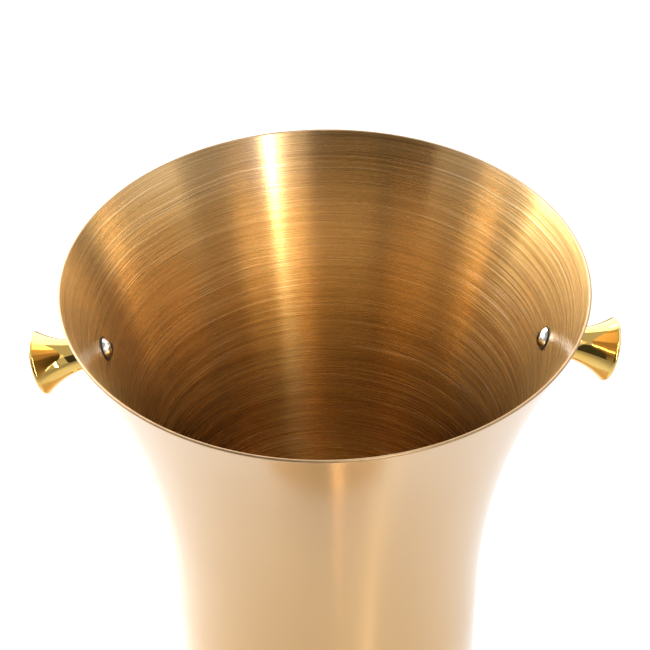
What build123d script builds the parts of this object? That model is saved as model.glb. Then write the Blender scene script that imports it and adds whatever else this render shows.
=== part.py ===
from build123d import *
import math
import os

# Champagne bucket on its floor stand, in millimetres. Z is up, the floor is z = 0, and the column's
# axis is the Z axis. The knobs point along +X and -X. Sheet parts are spun metal, so each is a path
# walked in the (radius, height) plane, thickened to its left and turned about Z.

# Bucket: a straight body that flares to a thin, rounded rim
rim_radius = 110.0
body_radius = 71.3
bucket_height = 265.0
flare_height = 175.0  # from the start of the flare up to the rim
bucket_wall = 1.2
bucket_corner = 10.0
standing_ring = 11.4  # width of the flat ring that the bucket stands on
kick_height = 3.0  # the raised middle of the bottom
kick_bend = 6.0

# Trumpet knobs, each on one screw from inside the bucket
knob_drop = 36.3  # rim down to where the knob's axis meets the wall
knob_droop = 14.0  # degrees below level
knob_length = 29.5
knob_neck_length = 6.0  # straight part next to the wall
knob_neck_radius = 6.4
knob_end_radius = 13.9
knob_edge = 1.2  # rounding where the flare meets the end
knob_dome_angle = 8.0
knob_root = 8.0  # blank left under the knob before its seat is cut to the wall
knob_tapping_depth = 14.0  # tapped square to the wall, not along the knob

# Knob screw, M5 with a button head, over a sealing washer
m5_thread = 2.5
m5_shank = 2.45
m5_clearance = 2.7
knob_screw_reach = 12.0
button_radius = 4.75
button_height = 2.75
button_edge = 0.35
button_socket = 3.0  # across flats
button_socket_depth = 1.6
seal_radius = 5.2
seal_thickness = 0.5
seal_bore = 2.6

# Cup on top of the column, with the rubber mat that the bucket stands on
cup_clearance = 0.8
cup_wall = 1.2
cup_corner = 12.0
cup_height = 20.0
mat_thickness = 2.0
mat_edge_gap = 3.5  # mat's edge to the cup's corner bend

# Column
column_radius = 19.0
column_wall = 1.5
column_length = 460.0
plug_gap = 0.1
plug_flange = 5.0
plug_reach = 30.0
head_flange_overhang = 9.0  # past the column's outside
foot_flange_overhang = 7.0
collar_gap = 0.05
collar_thickness = 5.45
collar_height = 9.0
collar_round = 2.5
grub_socket = 2.0  # across flats
grub_socket_depth = 2.0
neck_gap = 0.3  # column to the inside of a spun neck
flare_wall = 1.0
head_flare_flange = 4.0
head_flare_inset = 1.0  # flange's edge inside the cup's corner bend

# Cup screws, M4 countersunk
m4_thread = 2.0
m4_shank = 1.95
m4_head_radius = 3.8
m4_head_depth = 2.3
cup_screw_inset = 4.5  # in from the flange's edge
cup_screw_length = 6.0
cup_screw_count = 4
m4_socket = 2.5
m4_socket_depth = 1.2

# Base: a spun cover over a cast ballast, closed by a steel plate
base_radius = 140.0
base_wall = 1.2
skirt_height = 8.0
skirt_bend = 8.0
base_rise_angle = 4.0  # slope of the cover just inside the skirt
base_sweep_radius = 400.0  # shallow hollow of the cover, inside the skirt
base_sweep_angle = 10.0
ballast_clearance = 0.3
ballast_height = 11.0
boss_overhang = 11.0  # past the column's outside
boss_height = 34.0
pocket_gap = 3.0  # round the tie rod's washer
pocket_depth = 14.0
plate_thickness = 2.0

# Rubber feet, each on one M5 pan-head screw into the ballast
foot_count = 4
foot_inset = 28.0  # feet's centres in from the base's edge
foot_height = 8.0
foot_top_radius = 12.0
foot_bottom_radius = 11.0
foot_recess_radius = 5.6
foot_recess_depth = 4.5
pan_radius = 5.0
pan_height = 3.2
pan_round = 1.0
pan_socket_depth = 1.6
foot_screw_reach = 12.0
foot_tapping_depth = 8.0

# M10 tie rod from the ballast to the head plug
rod_thread = 5.0
rod_radius = 4.95
rod_clearance = 5.25
rod_engagement = 20.0
rod_end_gap = 5.0  # blind hole past the rod's upper end
rod_tail = 0.5  # rod's lower end above the plate
nut_flats = 17.0
nut_height = 8.0
washer_radius = 15.0
washer_thickness = 2.5
spring_washer_radius = 9.0
spring_washer_thickness = 2.2
spring_washer_gap = 1.5

# Radii that follow from these
cup_radius = body_radius + cup_clearance + cup_wall
head_flange_radius = column_radius + head_flange_overhang
foot_flange_radius = column_radius + foot_flange_overhang
boss_radius = column_radius + boss_overhang
pocket_radius = washer_radius + pocket_gap
collar_radius = column_radius + collar_gap + collar_thickness

# Levels, from the floor up
plate_top = foot_height + plate_thickness
boss_top = plate_top + boss_height
column_foot = boss_top + plug_flange
column_top = column_foot + column_length
cup_floor = column_top + plug_flange
bucket_floor = cup_floor + cup_wall + mat_thickness
rim_level = bucket_floor + bucket_height

parts = {}


def at(radius, height):
    return Vector(radius, 0, height)


def walk(start, heading, moves, left=0.0):
    """Edges of a path in the XZ plane, its end and its last heading in degrees (0 is outward, 90 is up).

    A move is ("run", length) or ("bend", radius, turn), where a positive turn is to the left.
    left shifts the whole path sideways, which gives the other face of a sheet.
    """
    angle = math.radians(heading)
    radius = start[0] - left * math.sin(angle)
    height = start[1] + left * math.cos(angle)
    edges = []
    for move in moves:
        before = at(radius, height)
        if move[0] == "run":
            radius += move[1] * math.cos(angle)
            height += move[1] * math.sin(angle)
            edges.append(Line(before, at(radius, height)))
            continue
        turn = math.radians(move[2])
        side = math.copysign(1, turn)
        bend = side * (move[1] - side * left)
        centre = (radius - bend * math.sin(angle), height + bend * math.cos(angle))
        middle_angle = angle + turn / 2
        angle += turn
        middle = at(
            centre[0] + bend * math.sin(middle_angle),
            centre[1] - bend * math.cos(middle_angle),
        )
        radius = centre[0] + bend * math.sin(angle)
        height = centre[1] - bend * math.cos(angle)
        edges.append(ThreePointArc(before, middle, at(radius, height)))
    return edges, (radius, height), math.degrees(angle)


def end_of(start, heading, moves):
    return walk(start, heading, moves)[1]


def turned(edges):
    return revolve(make_face(edges), axis=Axis.Z, revolution_arc=360)


def rounded_end(edge_point, heading, wall):
    """Half-round edge of a sheet, from its right-hand face to its left-hand face."""
    angle = math.radians(heading)
    ahead = Vector(math.cos(angle), 0, math.sin(angle))
    left = Vector(-math.sin(angle), 0, math.cos(angle))
    first = at(*edge_point)
    tip = first + left * (wall / 2) + ahead * (wall / 2)
    return ThreePointArc(first, tip, first + left * wall)


def spun_sheet(start, heading, moves, wall):
    """Sheet part: the walked path is its visible face and its wall lies to the left."""
    outer, end, last_heading = walk(start, heading, moves)
    inner, _, _ = walk(start, heading, moves, left=wall)
    cap = rounded_end(end, last_heading, wall)
    opening = Line(outer[0] @ 0, inner[0] @ 0)
    return turned([*outer, cap, *inner, opening])


def filled(start, heading, moves, left=0.0):
    """Everything between a walked path and the Z axis."""
    edges, end, _ = walk(start, heading, moves, left)
    first = edges[0] @ 0
    closing = [Line(edges[-1] @ 1, at(0, end[1]))]
    if first.X > 1e-9:
        closing.append(Line(at(0, first.Z), first))
    closing.append(Line(at(0, end[1]), at(0, first.Z)))
    return turned([*edges, *closing])


def disc(radius, bottom, top):
    return Pos(0, 0, bottom) * Cylinder(
        radius, top - bottom, align=(Align.CENTER, Align.CENTER, Align.MIN)
    )


def ring(inner, outer, bottom, top):
    return disc(outer, bottom, top) - disc(inner, bottom, top)


def hexagon(across_flats, bottom, top):
    outline = RegularPolygon(across_flats / 2, 6, major_radius=False)
    return Pos(0, 0, bottom) * extrude(outline, top - bottom)


def round_the_circle(shape, radius, amount):
    edges = [
        edge
        for edge in shape.edges().filter_by(GeomType.CIRCLE)
        if abs(edge.radius - radius) < 1e-6
    ]
    return fillet(edges, amount)


def spread(count, circle, first_angle=0.0):
    return [
        Rot(0, 0, first_angle + 360 * i / count) * Pos(circle, 0, 0)
        for i in range(count)
    ]


def group(shapes):
    return Compound([shape.solid() for shape in shapes])


# ---- Bucket ----

flare_gain = rim_radius - body_radius
flare_radius = (flare_gain**2 + flare_height**2) / (2 * flare_gain)
flare_angle = math.degrees(math.asin(flare_height / flare_radius))
kick_angle = math.degrees(math.acos(1 - kick_height / (2 * kick_bend)))
kick_slope_run = 2 * kick_bend * math.sin(math.radians(kick_angle))
kick_radius = body_radius - bucket_corner - standing_ring - kick_slope_run

bucket_start = (0, bucket_floor + kick_height)
bucket_moves = [
    ("run", kick_radius),
    ("bend", kick_bend, -kick_angle),
    ("bend", kick_bend, kick_angle),
    ("run", standing_ring),
    ("bend", bucket_corner, 90),
    ("run", bucket_height - flare_height - bucket_corner),
    ("bend", flare_radius, -flare_angle),
]


def wall_radius(drop):
    """Outer radius of the flared wall, that far below the rim."""
    rise = flare_height - drop
    return body_radius + flare_radius - math.sqrt(flare_radius**2 - rise**2)


def on_the_wall(angle, droop):
    """Where a knob meets the wall's outside, at an angle about Z, with +Z outward and down by droop."""
    down = math.radians(droop)
    seat = Plane(
        origin=at(wall_radius(knob_drop), rim_level - knob_drop),
        x_dir=(0, 1, 0),
        z_dir=(math.cos(down), 0, -math.sin(down)),
    )
    return Rot(0, 0, angle) * seat.location


# The knobs droop less than the wall leans, and their screws stand square to the wall
wall_lean = math.degrees(math.asin((flare_height - knob_drop) / flare_radius))
knob_under_head = -(bucket_wall + seal_thickness)
sides = {"right": 0, "left": 180}
knob_places = {name: on_the_wall(angle, knob_droop) for name, angle in sides.items()}
screw_places = {name: on_the_wall(angle, wall_lean) for name, angle in sides.items()}
bucket_outside = filled(bucket_start, 0, bucket_moves)
bucket_inside = filled(bucket_start, 0, bucket_moves, left=bucket_wall)


def bucket_shell():
    shell = spun_sheet(bucket_start, 0, bucket_moves, bucket_wall)
    for place in screw_places.values():
        shell -= place * disc(m5_clearance, -knob_root, knob_root)
    return shell


def knob(name):
    dome_angle = math.radians(knob_dome_angle)
    dome_start = knob_end_radius - knob_edge * (1 - math.sin(dome_angle))
    dome_radius = dome_start / math.sin(dome_angle)
    dome_height = dome_radius * (1 - math.cos(dome_angle))

    # The flare is the arc that leaves the neck in line with it and runs on into the end's rounding
    rise = knob_length - dome_height - knob_edge * math.cos(dome_angle) - knob_neck_length
    gain = knob_end_radius - knob_edge - knob_neck_radius
    flare = (gain**2 + rise**2 - knob_edge**2) / (2 * (gain + knob_edge))
    flare_turn = math.degrees(math.acos((flare - gain) / (flare + knob_edge)))
    moves = [
        ("run", knob_root + knob_neck_length),
        ("bend", flare, -flare_turn),
        ("bend", knob_edge, flare_turn + 90 - knob_dome_angle),
        ("bend", dome_radius, knob_dome_angle),
    ]
    body = knob_places[name] * filled((knob_neck_radius, -knob_root), 90, moves)
    bore = screw_places[name] * disc(m5_thread, -knob_root, knob_tapping_depth)
    return body - bore - bucket_outside


def seal(name):
    blank = ring(seal_bore, seal_radius, knob_under_head, 0)
    return screw_places[name] * blank & bucket_inside


def knob_screw(name):
    dome_rise = button_height - button_edge
    dome = (button_radius**2 + dome_rise**2) / (2 * dome_rise)
    head = disc(button_radius, 0, button_height) & Pos(0, 0, button_height - dome) * Sphere(dome)
    head -= hexagon(button_socket, button_height - button_socket_depth, button_height)
    shank = disc(m5_shank, knob_under_head, knob_screw_reach)
    return screw_places[name] * (shank + Pos(0, 0, knob_under_head) * Rot(180, 0, 0) * head)


parts["bucket_shell"] = bucket_shell()
for name in sides:
    parts[f"knob_{name}"] = knob(name)
    parts[f"knob_screw_{name}"] = knob_screw(name)
    parts[f"knob_seal_{name}"] = seal(name)

# ---- Cup ----

cup_moves = [
    ("run", cup_radius - cup_corner),
    ("bend", cup_corner, 90),
    ("run", cup_height - cup_corner),
]
cup_screw_places = spread(cup_screw_count, head_flange_radius - cup_screw_inset, 45)


def countersunk_screw(head_top):
    """M4 screw along Z with its flat head up."""
    head = Pos(0, 0, head_top - m4_head_depth) * Cone(
        m4_shank,
        m4_head_radius,
        m4_head_depth,
        align=(Align.CENTER, Align.CENTER, Align.MIN),
    )
    screw = head + disc(m4_shank, head_top - cup_screw_length, head_top - m4_head_depth)
    return screw - hexagon(m4_socket, head_top - m4_socket_depth, head_top)


def countersink(head_top, bottom):
    """Tool that makes the hole and the countersink for that screw."""
    cone = Pos(0, 0, head_top - m4_head_depth) * Cone(
        m4_thread,
        m4_head_radius + m4_thread - m4_shank,
        m4_head_depth,
        align=(Align.CENTER, Align.CENTER, Align.MIN),
    )
    return cone + disc(m4_thread, bottom, head_top - m4_head_depth)


cup_floor_top = cup_floor + cup_wall
cup_holes = [place * countersink(cup_floor_top, column_top) for place in cup_screw_places]
parts["seat_cup"] = spun_sheet((0, cup_floor), 0, cup_moves, cup_wall) - cup_holes
parts["rubber_mat"] = disc(cup_radius - cup_corner - mat_edge_gap, cup_floor_top, bucket_floor)
parts["cup_screws"] = group([place * countersunk_screw(cup_floor_top) for place in cup_screw_places])

# ---- Column ----

column_bore = column_radius - column_wall
spigot_radius = column_bore - plug_gap
neck_radius = column_radius + neck_gap + flare_wall
rod_top = column_top - plug_reach + rod_engagement

parts["column_tube"] = ring(column_bore, column_radius, column_foot, column_top)

head_plug = disc(head_flange_radius, column_top, cup_floor)
head_plug += disc(spigot_radius, column_top - plug_reach, column_top)
head_plug -= disc(rod_thread, column_top - plug_reach, rod_top + rod_end_gap)
parts["head_plug"] = head_plug - cup_holes

foot_plug = disc(foot_flange_radius, boss_top, column_foot)
foot_plug += disc(spigot_radius, column_foot, column_foot + plug_reach)
parts["foot_plug"] = foot_plug - disc(rod_clearance, boss_top, column_foot + plug_reach)

head_flare_rim = cup_radius - cup_corner - head_flare_inset
head_flare_bend = head_flare_rim - head_flare_flange - neck_radius
head_flare_foot = cup_floor - flare_wall - head_flare_bend
parts["head_flare"] = spun_sheet(
    (neck_radius, head_flare_foot),
    90,
    [("bend", head_flare_bend, -90), ("run", head_flare_flange)],
    flare_wall,
)

# ---- Base ----

base_start = (base_radius, foot_height)
base_outer_moves = [
    ("run", skirt_height),
    ("bend", skirt_bend, 90 - base_rise_angle),
    ("bend", base_sweep_radius, -base_sweep_angle),
]
base_neck_turn = 90 - base_rise_angle - base_sweep_angle
base_neck_radius = column_radius + neck_gap + base_wall
base_neck_bend = (end_of(base_start, 90, base_outer_moves)[0] - base_neck_radius) / (
    1 - math.cos(math.radians(base_neck_turn))
)
base_moves = [*base_outer_moves, ("bend", base_neck_bend, -base_neck_turn)]
base_neck_top = end_of(base_start, 90, base_moves)[1]
foot_places = spread(foot_count, base_radius - foot_inset, 45)

parts["base_cover"] = spun_sheet(base_start, 90, base_moves, base_wall)

plate_radius = base_radius - base_wall - ballast_clearance
plate = disc(plate_radius, foot_height, plate_top)
parts["base_plate"] = plate - [place * disc(m5_clearance, 0, plate_top) for place in foot_places]

ballast = disc(plate_radius, plate_top, plate_top + ballast_height)
ballast &= filled(base_start, 90, base_moves, left=base_wall)
ballast += disc(boss_radius, plate_top, boss_top)
ballast -= disc(pocket_radius, plate_top, plate_top + pocket_depth)
ballast -= disc(rod_clearance, plate_top, boss_top)
ballast -= [
    place * disc(m5_thread, plate_top, plate_top + foot_tapping_depth) for place in foot_places
]
parts["ballast_weight"] = ballast


def foot():
    rubber = Cone(
        foot_bottom_radius,
        foot_top_radius,
        foot_height,
        align=(Align.CENTER, Align.CENTER, Align.MIN),
    )
    rubber -= disc(foot_recess_radius, 0, foot_recess_depth)
    return rubber - disc(m5_clearance, foot_recess_depth, foot_height)


def foot_screw():
    head = disc(pan_radius, foot_recess_depth - pan_height, foot_recess_depth)
    lower = head.edges().filter_by(GeomType.CIRCLE).sort_by(Axis.Z)[0]
    head = fillet(lower, pan_round)
    head_low = foot_recess_depth - pan_height
    head -= hexagon(button_socket, head_low, head_low + pan_socket_depth)
    shank_top = foot_recess_depth + foot_screw_reach
    return head + disc(m5_shank, foot_recess_depth, shank_top)


parts["rubber_feet"] = group([place * foot() for place in foot_places])
parts["foot_screws"] = group([place * foot_screw() for place in foot_places])

# ---- Collars, each held by one grub screw at the back ----

collar_levels = {
    "lower": base_neck_top + base_wall / 2,  # on the neck's rounded end
    "upper": head_flare_foot - collar_height,
}
grub_place = Rot(0, 0, 90) * Rot(0, 90, 0)
grub_start = column_radius + collar_gap


def grub_screw(middle):
    grub_end = collar_radius - collar_gap
    tip = disc(m4_shank, grub_start, grub_end)
    tip -= hexagon(grub_socket, grub_end - grub_socket_depth, grub_end)
    return Pos(0, 0, middle) * grub_place * tip


for name, bottom in collar_levels.items():
    collar = ring(column_radius + collar_gap, collar_radius, bottom, bottom + collar_height)
    collar = round_the_circle(collar, collar_radius, collar_round)
    tapping = grub_place * disc(m4_thread, 0, collar_radius + collar_gap)
    parts[f"{name}_collar"] = collar - Pos(0, 0, bottom + collar_height / 2) * tapping
parts["collar_grub_screws"] = group(
    [grub_screw(bottom + collar_height / 2) for bottom in collar_levels.values()]
)

# ---- Tie rod and its nut under the ballast ----

pocket_roof = plate_top + pocket_depth
spring_washer_top = pocket_roof - washer_thickness
nut_top = spring_washer_top - spring_washer_thickness

parts["tie_rod"] = disc(rod_radius, plate_top + rod_tail, rod_top)
parts["rod_washer"] = ring(rod_clearance, washer_radius, spring_washer_top, pocket_roof)
spring_washer = ring(rod_clearance, spring_washer_radius, nut_top, spring_washer_top)
spring_washer -= Pos(spring_washer_radius / 2, 0, nut_top) * Box(
    spring_washer_radius,
    spring_washer_gap,
    spring_washer_thickness,
    align=(Align.CENTER, Align.CENTER, Align.MIN),
)
parts["rod_spring_washer"] = spring_washer
nut = hexagon(nut_flats, nut_top - nut_height, nut_top)
parts["rod_nut"] = nut - disc(rod_thread, nut_top - nut_height, nut_top)

os.makedirs("parts", exist_ok=True)
for name, shape in parts.items():
    export_step(shape, f"parts/{name}.step")
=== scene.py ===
import math

import bmesh
import bpy
from mathutils import Matrix, Vector


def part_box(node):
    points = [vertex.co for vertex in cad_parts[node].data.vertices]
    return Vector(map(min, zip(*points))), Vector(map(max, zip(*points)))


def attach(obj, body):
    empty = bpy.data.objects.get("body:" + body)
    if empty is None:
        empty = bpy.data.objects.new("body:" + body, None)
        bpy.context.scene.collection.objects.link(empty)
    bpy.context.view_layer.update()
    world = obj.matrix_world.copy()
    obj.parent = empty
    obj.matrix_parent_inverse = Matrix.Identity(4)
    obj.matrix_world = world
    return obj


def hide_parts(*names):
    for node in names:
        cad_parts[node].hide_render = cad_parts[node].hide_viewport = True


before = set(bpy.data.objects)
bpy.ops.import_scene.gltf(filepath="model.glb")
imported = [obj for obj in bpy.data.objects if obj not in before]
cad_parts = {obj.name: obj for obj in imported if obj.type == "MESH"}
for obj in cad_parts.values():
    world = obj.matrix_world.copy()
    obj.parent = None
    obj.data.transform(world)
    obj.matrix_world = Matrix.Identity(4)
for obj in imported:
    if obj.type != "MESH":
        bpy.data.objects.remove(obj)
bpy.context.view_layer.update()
mm = 0.001  # the dictionaries below are in millimetres, Blender is in metres


class Outline:
    # A turned piece's section, drawn by a point that runs and bends in the plane of radius and height

    def __init__(self, radius, height, heading):
        self.bm = bmesh.new()
        self.start = self.tip = self.bm.verts.new((radius * mm, 0, height * mm))
        self.heading = heading  # degrees: 0 is away from the axis, 90 is up

    def run(self, length):
        angle = math.radians(self.heading)
        made = bmesh.ops.extrude_vert_indiv(self.bm, verts=[self.tip])
        self.tip = made["verts"][0]
        self.tip.co += Vector((math.cos(angle), 0, math.sin(angle))) * length * mm
        return self

    def turn(self, degrees):
        self.heading += degrees
        return self

    def bend(self, radius, degrees):
        # Left is positive. A step is at most 6 degrees and 5 mm long
        angle = math.radians(self.heading)
        sweep = math.radians(degrees)
        side = Vector((-math.sin(angle), 0, math.cos(angle))) * math.copysign(radius * mm, degrees)
        made = bmesh.ops.spin(
            self.bm,
            geom=[self.tip],
            cent=self.tip.co + side,
            axis=(0, -1, 0),
            angle=sweep,
            steps=max(2, math.ceil(abs(degrees) / 6), math.ceil(abs(radius * sweep) / 5)),
        )
        self.tip = [part for part in made["geom_last"] if isinstance(part, bmesh.types.BMVert)][0]
        return self.turn(degrees)

    def go(self, moves):
        # A move of one number is a run, a move of two is a bend
        for move in moves:
            self.run(*move) if len(move) == 1 else self.bend(*move)
        return self

    def sheet(self, moves, wall):
        # Out along one face of a sheet, round its edge and back along the other face, to the left
        back = [
            move if len(move) == 1 else (move[0] - math.copysign(wall, move[1]), -move[1])
            for move in reversed(moves)
        ]
        return self.go(moves).bend(wall / 2, 180).go(back)

    def close(self):
        self.bm.edges.new((self.tip, self.start))
        return self

    def spun(self, segments):
        bm = self.bm
        outline = bm.verts[:] + bm.edges[:]
        bmesh.ops.spin(
            bm, geom=outline, cent=(0, 0, 0), axis=(0, 0, 1), angle=math.tau, steps=segments, use_merge=True
        )
        bmesh.ops.remove_doubles(bm, verts=bm.verts, dist=0.001 * mm)
        bmesh.ops.recalc_face_normals(bm, faces=bm.faces)
        return bm


def addPiece(name, bm, body, nodes, finishes, sharpAngle=32):
    mesh = bpy.data.meshes.new(name)
    bm.to_mesh(mesh)
    bm.free()
    mesh.shade_smooth()
    mesh.set_sharp_from_angle(angle=math.radians(sharpAngle))
    for finish in finishes:
        mesh.materials.append(finish)
    piece = bpy.data.objects.new(name, mesh)
    bpy.context.scene.collection.objects.link(piece)
    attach(piece, body)
    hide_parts(*nodes)
    return piece


def cutAway(piece, toolBm):
    # Takes a tool's shape out of a piece and leaves no modifier on it
    toolMesh = bpy.data.meshes.new("cutter")
    toolBm.to_mesh(toolMesh)
    toolBm.free()
    tool = bpy.data.objects.new("cutter", toolMesh)
    bpy.context.scene.collection.objects.link(tool)
    cut = piece.modifiers.new("cut", "BOOLEAN")
    cut.operation = "DIFFERENCE"
    cut.solver = "EXACT"
    cut.object = tool
    bpy.context.view_layer.update()
    evaluated = piece.evaluated_get(bpy.context.evaluated_depsgraph_get())
    whole = piece.data
    piece.data = bpy.data.meshes.new_from_object(evaluated)
    piece.modifiers.clear()
    bpy.data.meshes.remove(whole)
    piece.data.name = piece.name
    bpy.data.objects.remove(tool)
    bpy.data.meshes.remove(toolMesh)


def dress(node, finish):
    # A CAD piece keeps its shape and gets a finish
    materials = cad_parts[node].data.materials
    materials.clear()
    materials.append(finish)


class Wire:
    # One socket of a node tree, so that shader maths is written as plain sums

    def __init__(self, finish, socket):
        self.finish = finish
        self.socket = socket

    def math(self, operation, *values):
        return self.finish.node("ShaderNodeMath", {"operation": operation}, dict(enumerate(values)))

    def __add__(self, other):
        return self.math("ADD", self, other)

    def __sub__(self, other):
        return self.math("SUBTRACT", self, other)

    def __rsub__(self, other):
        return self.math("SUBTRACT", other, self)

    def __mul__(self, other):
        return self.math("MULTIPLY", self, other)

    __radd__ = __add__
    __rmul__ = __mul__


class Finish:
    # A material under construction, with one method for every kind of node

    def __init__(self, name):
        self.material = bpy.data.materials.new(name)
        self.material.use_nodes = True
        self.tree = self.material.node_tree
        self.tree.nodes.clear()

    def node(self, kind, settings, sockets, output=0):
        made = self.tree.nodes.new(kind)
        for name, value in settings.items():
            setattr(made, name, value)
        for name, value in sockets.items():
            if isinstance(value, Wire):
                self.tree.links.new(value.socket, made.inputs[name])
            else:
                made.inputs[name].default_value = value
        return Wire(self, made.outputs[output]) if made.outputs else None

    def place(self):
        return self.node("ShaderNodeTexCoord", {}, {}, "Object")

    def noise(self, vector, scale, detail=2.0, roughness=0.5):
        sockets = {"Vector": vector, "Scale": scale, "Detail": detail, "Roughness": roughness}
        return self.node("ShaderNodeTexNoise", {}, sockets)

    def range(self, wire, low, high, start=0.3, end=0.7):
        # Spreads the middle of a noise, or another part of it, over low to high
        sockets = {"Value": wire, "From Min": start, "From Max": end, "To Min": low, "To Max": high}
        return self.node("ShaderNodeMapRange", {"clamp": True}, sockets)

    def mix(self, factor, first, second):
        return self.node("ShaderNodeMix", {"data_type": "RGBA"}, {"Factor": factor, 6: first, 7: second}, 2)

    def bump(self, height, strength, distance):
        sockets = {"Height": height, "Strength": strength, "Distance": distance * mm}
        return self.node("ShaderNodeBump", {}, sockets)

    def roundTheAxis(self, turns, pitch, sway=0.0):
        # Long features round the Z axis, radius over turns in length and a pitch (mm) across. Sway (mm)
        # lets them wander, as brush marks do
        place = self.place()
        flat = self.node("ShaderNodeVectorMath", {"operation": "MULTIPLY"}, {0: place, 1: (1, 1, 0)})
        radius = self.node("ShaderNodeVectorMath", {"operation": "LENGTH"}, {0: flat}, "Value")
        outward = self.node("ShaderNodeVectorMath", {"operation": "NORMALIZE"}, {0: flat})
        height = self.node("ShaderNodeSeparateXYZ", {}, {0: place}, "Z")
        drift = self.noise(place, 22.0, 1.0) * (sway * mm) if sway else 0.0
        across = (radius + height + drift) * (1 / (pitch * mm))
        scaled = self.node("ShaderNodeVectorMath", {"operation": "SCALE"}, {0: outward, "Scale": turns})
        lifted = self.node("ShaderNodeCombineXYZ", {}, {"Z": across})
        return self.node("ShaderNodeVectorMath", {"operation": "ADD"}, {0: scaled, 1: lifted})

    def done(self, sockets):
        surface = self.node("ShaderNodeBsdfPrincipled", {}, sockets)
        self.node("ShaderNodeOutputMaterial", {}, {"Surface": surface})
        return self.material


def brushedGold():
    # Gold-coloured plating brushed round on the lathe: fine rings, a few brighter scores that wander
    # across them, and highlights drawn out up and down the wall
    look = {
        "bright": (0.74, 0.46, 0.16, 1),
        "dark": (0.48, 0.28, 0.075, 1),
        "score": (0.92, 0.68, 0.38, 1),
        "roughness": (0.23, 0.29),
        "pitch": (0.75, 0.5, 0.8),
        "turns": (0.7, 0.9, 0.9),
        "sway": (1.5, -1.5, 7.0),
    }
    finish = Finish("brushedGold")
    long, short, cross = (
        finish.noise(finish.roundTheAxis(turns, pitch, sway), 1.0, 1.0)
        for turns, pitch, sway in zip(look["turns"], look["pitch"], look["sway"])
    )
    lines = long * 0.5 + short * 0.5
    rings = finish.mix(finish.range(lines, 0, 1, 0.36, 0.64), look["dark"], look["bright"])
    scores = finish.range(cross, 0, 1, 0.58, 0.74)
    return finish.done(
        {
            "Base Color": finish.mix(scores, rings, look["score"]),
            "Metallic": 1.0,
            "Roughness": finish.range(short, *look["roughness"]),
            "Anisotropic": 1.0,
            "Anisotropic Rotation": 0.25,
            "Tangent": finish.node("ShaderNodeTangent", {"direction_type": "RADIAL", "axis": "Z"}, {}),
            "Coat Weight": 1.0,
            "Coat IOR": 1.7,
            "Coat Roughness": 0.25,
            "Normal": finish.bump(lines, 0.15, 0.02),
        }
    )


def satinGold():
    # The same plating with a finer brushing on the outside, under clear lacquer
    look = {
        "bright": (0.79, 0.475, 0.185, 1),
        "dark": (0.76, 0.455, 0.175, 1),
        "roughness": (0.22, 0.27),
        "pitch": 1.6,
    }
    finish = Finish("satinGold")
    lines = finish.noise(finish.roundTheAxis(2.0, look["pitch"]), 1.0, 3.0)
    cloud = finish.noise(finish.place(), 14.0, 2.0)
    tone = finish.range(lines * 0.5 + cloud * 0.5, 0, 1)
    return finish.done(
        {
            "Base Color": finish.mix(tone, look["dark"], look["bright"]),
            "Metallic": 1.0,
            "Roughness": finish.range(cloud * 0.6 + lines * 0.4, *look["roughness"]),
            "Anisotropic": 1.0,
            "Anisotropic Rotation": 0.25,
            "Tangent": finish.node("ShaderNodeTangent", {"direction_type": "RADIAL", "axis": "Z"}, {}),
            "Coat Weight": 1.0,
            "Coat Roughness": 0.15,
            "Normal": finish.bump(lines, 0.05, 0.01),
        }
    )


def rimGold():
    # The rounded edge of the sheet, where the brushing stops
    look = {"bright": (0.50, 0.33, 0.18, 1), "dark": (0.42, 0.27, 0.14, 1), "roughness": (0.34, 0.42)}
    finish = Finish("rimGold")
    marks = finish.noise(finish.place(), 260.0, 3.0)
    return finish.done(
        {
            "Base Color": finish.mix(finish.range(marks, 0, 1), look["dark"], look["bright"]),
            "Metallic": 1.0,
            "Roughness": finish.range(marks, *look["roughness"]),
            "Normal": finish.bump(marks, 0.1, 0.01),
        }
    )


def polishedGold():
    # Solid brass under lacquer, polished like a mirror
    look = {
        "bright": (0.99, 0.68, 0.20, 1),
        "deep": (0.97, 0.62, 0.14, 1),
        "roughness": (0.03, 0.075),
    }
    finish = Finish("polishedGold")
    cloud = finish.noise(finish.place(), 60.0, 3.0)
    smear = finish.noise(finish.place(), 340.0, 2.0)
    return finish.done(
        {
            "Base Color": finish.mix(finish.range(cloud, 0, 1), look["deep"], look["bright"]),
            "Metallic": 1.0,
            "Roughness": finish.range(cloud * 0.6 + smear * 0.4, *look["roughness"]),
            "Coat Weight": 0.5,
            "Coat Roughness": 0.03,
            "Normal": finish.bump(smear, 0.03, 0.01),
        }
    )


def plainMetal(name, look):
    # Machined, plated or polished metal that isn't gold
    finish = Finish(name)
    cloud = finish.noise(finish.place(), 90.0, 3.0)
    marks = finish.noise(finish.place(), look["grain"], 3.0, 0.6)
    return finish.done(
        {
            "Base Color": finish.mix(finish.range(cloud, 0, 1), look["dark"], look["bright"]),
            "Metallic": 1.0,
            "Roughness": finish.range(marks * 0.6 + cloud * 0.4, *look["roughness"]),
            "Normal": finish.bump(marks, look["marks"], 0.02),
        }
    )


def coated(name, look):
    # Paint, cast surface or rubber: not a metal at its surface
    finish = Finish(name)
    grain = finish.noise(finish.place(), look["grain"], 4.0, 0.6)
    dust = finish.noise(finish.place(), 45.0, 3.0)
    tone = finish.range(dust * 0.5 + grain * 0.5, 0, 1)
    return finish.done(
        {
            "Base Color": finish.mix(tone, look["dark"], look["bright"]),
            "Roughness": finish.range(grain, *look["roughness"]),
            "Normal": finish.bump(grain, look["relief"], 0.08),
        }
    )


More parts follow.
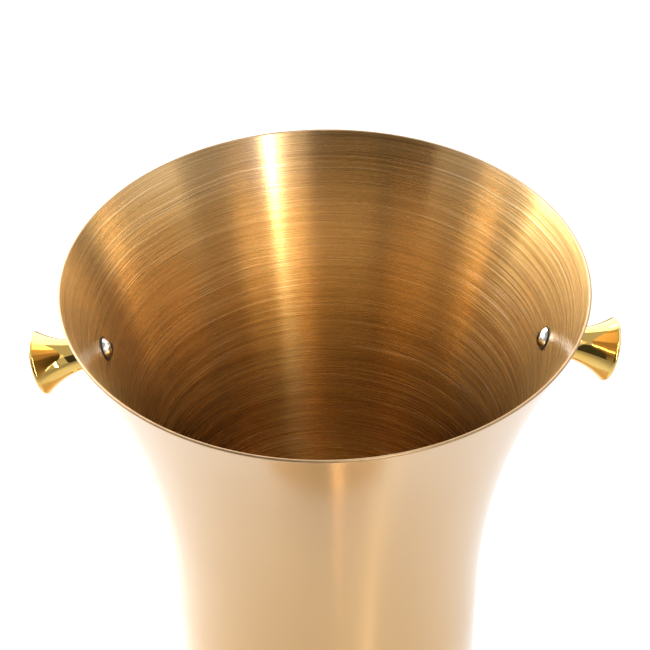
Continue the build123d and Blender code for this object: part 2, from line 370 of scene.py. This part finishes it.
brushed = brushedGold()
satin = satinGold()
rimFinish = rimGold()
mirrorGold = polishedGold()
steel = plainMetal(
    "polishedSteel",
    {
        "dark": (0.62, 0.60, 0.57, 1),
        "bright": (0.74, 0.73, 0.71, 1),
        "roughness": (0.08, 0.16),
        "grain": 900.0,
        "marks": 0.1,
    },
)
zinc = plainMetal(
    "zincPlate",
    {
        "dark": (0.42, 0.43, 0.44, 1),
        "bright": (0.60, 0.61, 0.62, 1),
        "roughness": (0.26, 0.40),
        "grain": 1200.0,
        "marks": 0.25,
    },
)
aluminium = plainMetal(
    "turnedAluminium",
    {
        "dark": (0.60, 0.61, 0.62, 1),
        "bright": (0.76, 0.77, 0.78, 1),
        "roughness": (0.22, 0.34),
        "grain": 1500.0,
        "marks": 0.3,
    },
)
rubber = coated(
    "blackRubber",
    {
        "dark": (0.010, 0.010, 0.010, 1),
        "bright": (0.030, 0.029, 0.028, 1),
        "roughness": (0.55, 0.75),
        "grain": 1400.0,
        "relief": 0.25,
    },
)
matRubber = coated(
    "matRubber",
    {
        "dark": (0.045, 0.043, 0.041, 1),
        "bright": (0.085, 0.082, 0.078, 1),
        "roughness": (0.62, 0.82),
        "grain": 1100.0,
        "relief": 0.3,
    },
)
powderBlack = coated(
    "powderBlack",
    {
        "dark": (0.012, 0.012, 0.013, 1),
        "bright": (0.026, 0.026, 0.028, 1),
        "roughness": (0.38, 0.55),
        "grain": 1600.0,
        "relief": 0.5,
    },
)
castIron = coated(
    "castIron",
    {
        "dark": (0.030, 0.030, 0.032, 1),
        "bright": (0.075, 0.073, 0.072, 1),
        "roughness": (0.55, 0.80),
        "grain": 700.0,
        "relief": 1.0,
    },
)
print("stage: finishes")

# Bucket: one spun sheet, with brushed, satin and rim faces
bucket = {
    "rim": 110.0,
    "body": 71.3,
    "height": 265.0,
    "flare": 175.0,
    "wall": 1.2,
    "corner": 10.0,
    "ring": 11.4,
    "kick": 3.0,
    "kickBend": 6.0,
    "segments": 256,
}
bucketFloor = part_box("bucket_shell")[0].z / mm
rimLevel = bucketFloor + bucket["height"]
flareGain = bucket["rim"] - bucket["body"]
flareRadius = (flareGain**2 + bucket["flare"] ** 2) / (2 * flareGain)
flareAngle = math.degrees(math.asin(bucket["flare"] / flareRadius))
kickAngle = math.degrees(math.acos(1 - bucket["kick"] / (2 * bucket["kickBend"])))
kickRun = 2 * bucket["kickBend"] * math.sin(math.radians(kickAngle))


def makeBucket():
    wall = bucket["wall"]
    moves = [
        (bucket["body"] - bucket["corner"] - bucket["ring"] - kickRun,),
        (bucket["kickBend"], -kickAngle),
        (bucket["kickBend"], kickAngle),
        (bucket["ring"],),
        (bucket["corner"], 90),
        (bucket["height"] - bucket["flare"] - bucket["corner"],),
        (flareRadius, -flareAngle),
    ]
    bm = Outline(0, bucketFloor + bucket["kick"], 0).sheet(moves, wall).spun(bucket["segments"])
    for face in bm.faces:
        centre = face.calc_center_median()
        outward = Vector((centre.x, centre.y, 0)).normalized()
        inside = face.normal.z - face.normal.dot(outward) / 2 > 0
        onRim = centre.z > (rimLevel - wall * 0.1) * mm
        face.material_index = 2 if onRim else int(inside)
    return addPiece("bucketShell", bm, "bucket", ["bucket_shell"], [satin, brushed, rimFinish])


makeBucket()
print("stage: bucket")

# Knobs, each with its screw and seal, on the bucket's left and right
knob = {
    "drop": 36.3,
    "droop": 14.0,
    "length": 29.5,
    "neck": 6.0,
    "neckRadius": 6.4,
    "endRadius": 13.9,
    "edge": 1.2,
    "dome": 8.0,
    "bore": 2.5,
    "boreDepth": 14.0,
    "root": 4.0,
    "sink": 0.4,  # seat's depth below the wall's outside
    "segments": 128,
}
knobRise = bucket["flare"] - knob["drop"]
wallLean = math.degrees(math.asin(knobRise / flareRadius))
knobWallRadius = bucket["body"] + flareRadius - math.sqrt(flareRadius**2 - knobRise**2)


def onTheWall(side, degrees):
    # Where a knob meets the wall's outside, with Z outward and that far down
    droop = math.radians(degrees)
    outward = Vector((math.cos(droop), 0, -math.sin(droop)))
    across = Vector((0, 1, 0))
    axes = Matrix((across, outward.cross(across), outward)).transposed().to_4x4()
    seat = Matrix.Translation(Vector((knobWallRadius, 0, rimLevel - knob["drop"])) * mm)
    return Matrix.Rotation(0 if side == "right" else math.pi, 4, "Z") @ seat @ axes


def makeKnob(side):
    dome = math.radians(knob["dome"])
    domeRadius = (knob["endRadius"] - knob["edge"] * (1 - math.sin(dome))) / math.sin(dome)
    domeHeight = domeRadius * (1 - math.cos(dome))
    rise = knob["length"] - domeHeight - knob["edge"] * math.cos(dome) - knob["neck"]
    gain = knob["endRadius"] - knob["edge"] - knob["neckRadius"]
    flare = (gain**2 + rise**2 - knob["edge"] ** 2) / (2 * (gain + knob["edge"]))
    flareTurn = math.degrees(math.acos((flare - gain) / (flare + knob["edge"])))
    outline = Outline(0, knob["boreDepth"], 0).run(knob["bore"]).turn(-90)
    outline.run(knob["boreDepth"] + knob["root"]).turn(90)
    outline.run(knob["neckRadius"] - knob["bore"]).turn(90)
    outline.go(
        [
            (knob["root"] + knob["neck"],),
            (flare, -flareTurn),
            (knob["edge"], flareTurn + 90 - knob["dome"]),
            (domeRadius, knob["dome"]),
        ]
    )
    bm = outline.spun(knob["segments"])
    # The seat is cut parallel to the wall, just inside its outer face
    tilt = math.radians(wallLean - knob["droop"])
    wallNormal = Vector((0, -math.sin(tilt), math.cos(tilt)))
    cut = bmesh.ops.bisect_plane(
        bm,
        geom=bm.verts[:] + bm.edges[:] + bm.faces[:],
        plane_co=wallNormal * -knob["sink"] * mm,
        plane_no=wallNormal,
        clear_inner=True,
    )
    rims = [part for part in cut["geom_cut"] if isinstance(part, bmesh.types.BMEdge)]
    bmesh.ops.bridge_loops(bm, edges=rims)
    bmesh.ops.recalc_face_normals(bm, faces=bm.faces)
    bmesh.ops.transform(bm, matrix=onTheWall(side, knob["droop"]), verts=bm.verts)
    name = side.capitalize()
    return addPiece(f"knob{name}", bm, "bucket", [f"knob_{side}"], [mirrorGold])


screw = {
    "shank": 2.45,
    "reach": 12.0,
    "head": 4.75,
    "height": 2.75,
    "edge": 0.35,
    "socket": 3.0,
    "socketDepth": 1.6,
    "washer": 0.5,
    "tip": 0.4,
    "segments": 64,
}


def makeKnobScrew(side):
    under = bucket["wall"] + screw["washer"]
    domeRise = screw["height"] - screw["edge"]
    dome = (screw["head"] ** 2 + domeRise**2) / (2 * domeRise)
    domeTurn = math.degrees(math.asin(screw["head"] / dome))
    outline = Outline(0, screw["reach"], 0).run(screw["shank"] - screw["tip"]).turn(-45)
    outline.run(screw["tip"] * math.sqrt(2)).turn(-45)
    outline.run(screw["reach"] - screw["tip"] + under).turn(90)
    outline.run(screw["head"] - screw["shank"]).turn(-90).run(screw["edge"]).turn(domeTurn - 90)
    outline.bend(dome, -domeTurn)
    bm = outline.spun(screw["segments"])
    place = onTheWall(side, wallLean)  # square to the wall, where the knob itself droops less
    bmesh.ops.transform(bm, matrix=place, verts=bm.verts)
    name = side.capitalize()
    piece = addPiece(f"knobScrew{name}", bm, "bucket", [f"knob_screw_{side}"], [steel])
    socketBm = bmesh.new()
    flats = screw["socket"] / math.sqrt(3) * mm
    bmesh.ops.create_cone(
        socketBm, segments=6, radius1=flats, radius2=flats, depth=2 * screw["socketDepth"] * mm, cap_ends=True
    )
    face = Matrix.Translation((0, 0, -(under + screw["height"]) * mm))
    bmesh.ops.transform(socketBm, matrix=place @ face, verts=socketBm.verts)
    cutAway(piece, socketBm)
    return piece


for side in ("left", "right"):
    makeKnob(side)
    makeKnobScrew(side)
    dress(f"knob_seal_{side}", rubber)
print("stage: knobs")

# Cup, mat, flare, column and collars
cup = {"clearance": 0.8, "wall": 1.2, "corner": 12.0, "height": 20.0, "segments": 192}
cupRadius = bucket["body"] + cup["clearance"] + cup["wall"]
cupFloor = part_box("seat_cup")[0].z / mm
mat = {"edgeGap": 3.5, "ribs": 6, "rib": 2.4, "groove": 0.5, "edge": 0.5, "segments": 160}
matRadius = cupRadius - cup["corner"] - mat["edgeGap"]
column = {"radius": 19.0, "wall": 1.5, "neckGap": 0.3, "edge": 0.3, "segments": 128}
flareCone = {"wall": 1.0, "flange": 4.0, "inset": 1.0}
collar = {
    "bore": 19.05,
    "outer": 24.5,
    "height": 9.0,
    "round": 2.5,
    "edge": 0.3,
    "hole": 2.0,
    "holeSegments": 48,
}


def makeCup():
    moves = [(cupRadius - cup["corner"],), (cup["corner"], 90), (cup["height"] - cup["corner"],)]
    bm = Outline(0, cupFloor, 0).sheet(moves, cup["wall"]).spun(cup["segments"])
    return addPiece("seatCup", bm, "stand", ["seat_cup"], [satin])


def makeMat():
    # Grooves between the ribs keep the bucket's standing ring from sliding
    low, high = (corner.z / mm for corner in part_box("rubber_mat"))
    edge = mat["edge"]
    outline = Outline(0, low, 0).run(matRadius - edge).bend(edge, 90).run(high - low - 2 * edge)
    outline.bend(edge, 90)
    for _ in range(mat["ribs"]):
        outline.run(mat["rib"]).turn(45).run(mat["groove"]).turn(-45).run(mat["groove"])
        outline.turn(-45).run(mat["groove"]).turn(45)
    used = mat["ribs"] * (mat["rib"] + mat["groove"] * (1 + math.sqrt(2)))
    outline.run(matRadius - edge - used)
    bm = outline.spun(mat["segments"])
    return addPiece("rubberMat", bm, "stand", ["rubber_mat"], [matRubber])


def makeHeadFlare():
    neck = column["radius"] + column["neckGap"] + flareCone["wall"]
    bend = cupRadius - cup["corner"] - flareCone["inset"] - flareCone["flange"] - neck
    outline = Outline(neck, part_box("head_flare")[0].z / mm, 90)
    outline.sheet([(bend, -90), (flareCone["flange"],)], flareCone["wall"]).close()
    bm = outline.spun(column["segments"])
    return addPiece("headFlare", bm, "stand", ["head_flare"], [satin])


def makeColumn():
    low, high = (corner.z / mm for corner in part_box("column_tube"))
    edge = column["edge"]
    side = high - low - 2 * edge
    face = column["wall"] - 2 * edge
    outline = Outline(column["radius"], low + edge, 90)
    outline.go([(side,), (edge, 90), (face,), (edge, 90), (side,), (edge, 90), (face,), (edge, 90)])
    return addPiece(
        "columnTube", outline.spun(column["segments"]), "stand", ["column_tube"], [satin]
    )


def makeCollar(name, node):
    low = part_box(node)[0].z / mm
    big, small = collar["round"], collar["edge"]
    flat = collar["outer"] - collar["bore"] - big - small
    inside = collar["height"] - 2 * small
    outline = Outline(collar["outer"], low + big, 90).run(collar["height"] - 2 * big)
    outline.go([(big, 90), (flat,), (small, 90), (inside,), (small, 90), (flat,), (big, 90)])
    piece = addPiece(name, outline.spun(column["segments"]), "stand", [node], [mirrorGold])
    drill = bmesh.new()
    depth = collar["outer"] * mm
    hole = collar["hole"] * mm
    bmesh.ops.create_cone(
        drill, segments=collar["holeSegments"], radius1=hole, radius2=hole, depth=depth, cap_ends=True
    )
    sideways = Matrix.Rotation(math.pi / 2, 4, "X")
    place = Matrix.Translation((0, depth, (low + collar["height"] / 2) * mm))
    bmesh.ops.transform(drill, matrix=place @ sideways, verts=drill.verts)
    cutAway(piece, drill)
    return piece


makeCup()
makeMat()
makeHeadFlare()
makeColumn()
makeCollar("upperCollar", "upper_collar")
makeCollar("lowerCollar", "lower_collar")
print("stage: cup and column")

# Base cover and rubber feet
base = {
    "radius": 140.0,
    "wall": 1.2,
    "skirt": 8.0,
    "skirtBend": 8.0,
    "rise": 4.0,
    "sweepRadius": 400.0,
    "sweepAngle": 10.0,
    "segments": 256,
}
foot = {
    "count": 4,
    "inset": 28.0,
    "height": 8.0,
    "top": 12.0,
    "bottom": 11.0,
    "recess": 5.6,
    "recessDepth": 4.5,
    "hole": 2.7,
    "edge": 0.8,
    "segments": 64,
}


def makeBaseCover():
    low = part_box("base_cover")[0].z / mm
    outer = [
        (base["skirt"],),
        (base["skirtBend"], 90 - base["rise"]),
        (base["sweepRadius"], -base["sweepAngle"]),
    ]
    trial = Outline(base["radius"], low, 90).go(outer)
    neck = column["radius"] + column["neckGap"] + base["wall"]
    turnLeft = 90 - base["rise"] - base["sweepAngle"]
    neckBend = (trial.tip.co.x / mm - neck) / (1 - math.cos(math.radians(turnLeft)))
    trial.bm.free()
    outline = Outline(base["radius"], low, 90)
    outline.sheet([*outer, (neckBend, -turnLeft)], base["wall"]).close()
    bm = outline.spun(base["segments"])
    return addPiece("baseCover", bm, "stand", ["base_cover"], [satin])


def makeFeet():
    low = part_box("rubber_feet")[0].z / mm
    edge = foot["edge"]
    lean = math.degrees(math.atan((foot["top"] - foot["bottom"]) / foot["height"]))
    outline = Outline(foot["recess"], low, 0).run(foot["bottom"] - foot["recess"] - edge)
    outline.bend(edge, 90 - lean).run(foot["height"] - edge).turn(90 + lean)
    reach = outline.tip.co.x / mm - foot["hole"]
    outline.run(reach).turn(90).run(outline.tip.co.z / mm - foot["recessDepth"]).turn(-90)
    outline.turn(180).run(foot["recess"] - foot["hole"]).turn(-90).close()
    outline.spun(foot["segments"])
    whole = outline.bm
    ring = whole.verts[:] + whole.edges[:] + whole.faces[:]
    radius = (base["radius"] - foot["inset"]) * mm
    bmesh.ops.translate(whole, vec=(radius, 0, 0), verts=whole.verts)
    bmesh.ops.rotate(whole, cent=(0, 0, 0), matrix=Matrix.Rotation(math.pi / 4, 3, "Z"), verts=whole.verts)
    bmesh.ops.spin(
        whole,
        geom=ring,
        cent=(0, 0, 0),
        axis=(0, 0, 1),
        angle=math.tau * (foot["count"] - 1) / foot["count"],
        steps=foot["count"] - 1,
        use_duplicate=True,
    )
    return addPiece("rubberFeet", whole, "stand", ["rubber_feet"], [rubber])


makeBaseCover()
makeFeet()
print("stage: base")

# The other machined pieces keep their CAD shapes and get their finishes
cadFinishes = {
    "cup_screws": zinc,
    "collar_grub_screws": zinc,
    "foot_screws": zinc,
    "tie_rod": zinc,
    "rod_nut": zinc,
    "rod_washer": zinc,
    "rod_spring_washer": zinc,
    "head_plug": aluminium,
    "foot_plug": aluminium,
    "ballast_weight": castIron,
    "base_plate": powderBlack,
}
for node, finish in cadFinishes.items():
    dress(node, finish)

# Studio: a pale floor, a pale sky and soft lights round the bucket's mouth
mouth = Vector((0, 0, rimLevel)) * mm
studio = {
    "floorSize": 60.0,  # metres
    "sky": 0.52,
    "elevation": 39.8,  # degrees, as are turn and roll
    "turn": 1.06,
    "roll": -0.69,
    "distance": 0.7425,  # metres from the point it looks at
    "aimDrop": 0.0257,  # metres, from the mouth down to that point
    "lens": 96.92,
    "sensor": 36.0,
    "nearest": 0.01,
}


def placeRound(thing, azimuth, distance, height, facing):
    # Stands a light or a card round the mouth, facing it. Azimuth 0 is the camera's side, 90 the right
    angle = math.radians(azimuth)
    thing.location = mouth + Vector((math.sin(angle) * distance, -math.cos(angle) * distance, height))
    thing.rotation_euler = (mouth - thing.location).to_track_quat(facing, "Y").to_euler()
    thing.visible_camera = False
    bpy.context.scene.collection.objects.link(thing)


def softbox(name, azimuth, distance, height, width, length, radiance):
    # A rectangle of light, which the camera doesn't see
    light = bpy.data.lights.new(name, "AREA")
    light.shape = "RECTANGLE"
    light.size = width
    light.size_y = length
    light.energy = radiance * math.pi * width * length
    placeRound(bpy.data.objects.new(name, light), azimuth, distance, height, "-Z")


def flag(name, azimuth, distance, height, width, length, shade):
    # A dark card that the polished metal reflects
    bm = bmesh.new()
    bmesh.ops.create_grid(bm, x_segments=1, y_segments=1, size=0.5)
    mesh = bpy.data.meshes.new(name)
    bm.to_mesh(mesh)
    bm.free()
    mesh.materials.append(Finish(name).done({"Base Color": (shade, shade, shade, 1), "Roughness": 0.9}))
    card = bpy.data.objects.new(name, mesh)
    card.scale = (width, length, 1)
    card.visible_shadow = False
    placeRound(card, azimuth, distance, height, "Z")


def makeFloor():
    bm = bmesh.new()
    bmesh.ops.create_grid(bm, x_segments=1, y_segments=1, size=studio["floorSize"] / 2)
    mesh = bpy.data.meshes.new("floor")
    bm.to_mesh(mesh)
    bm.free()
    finish = Finish("paleFloor")
    cloud = finish.noise(finish.place(), 3.0, 3.0)
    paint = finish.mix(finish.range(cloud, 0, 1), (0.60, 0.60, 0.597, 1), (0.62, 0.62, 0.617, 1))
    mesh.materials.append(finish.done({"Base Color": paint, "Roughness": 0.8, "Specular IOR Level": 0.2}))
    floor = bpy.data.objects.new("floor", mesh)
    bpy.context.scene.collection.objects.link(floor)


def makeSky():
    world = bpy.data.worlds.new("studio")
    world.use_nodes = True
    world.node_tree.nodes["Background"].inputs["Color"].default_value = (1.0, 1.0, 1.0, 1)
    world.node_tree.nodes["Background"].inputs["Strength"].default_value = studio["sky"]
    bpy.context.scene.world = world


def makeCamera():
    camera = bpy.data.objects.new("camera", bpy.data.cameras.new("camera"))
    camera.data.lens = studio["lens"]
    camera.data.sensor_width = studio["sensor"]
    rise, turn = math.radians(studio["elevation"]), math.radians(studio["turn"])
    back = Vector((-math.sin(turn) * math.cos(rise), -math.cos(turn) * math.cos(rise), math.sin(rise)))
    camera.location = mouth - Vector((0, 0, studio["aimDrop"])) + back * studio["distance"]
    camera.rotation_euler = (-back).to_track_quat("-Z", "Y").to_euler()
    camera.rotation_euler.rotate_axis("Z", math.radians(studio["roll"]))
    camera.data.clip_start = studio["nearest"]
    bpy.context.scene.collection.objects.link(camera)
    bpy.context.scene.camera = camera


makeFloor()
makeSky()
# Azimuth in degrees; distance, height above the mouth, width and length in metres; then the radiance
softboxes = {
    "backdropLight": (178, 2.2, 1.0, 4.6, 2.8, 1.9),
    "backLeftLight": (229, 1.7, 0.68, 2.0, 1.4, 6.0),
    "sideRightLight": (92, 2.0, 0.95, 2.2, 1.5, 1.2),
    "sideLeftLight": (-92, 2.0, 0.95, 1.4, 1.5, 0.8),
    "stripLight": (23, 1.6, 0.95, 0.13, 2.3, 19.0),
    "stripGlow": (12, 1.62, 0.95, 0.42, 2.3, 0.5),
}
for name, values in softboxes.items():
    softbox(name, *values)
flag("cameraFlag", azimuth=-15, distance=2.0, height=0.75, width=3.0, length=1.9, shade=0.02)
makeCamera()
bpy.context.scene.view_settings.view_transform = "Standard"
print("stage: studio")
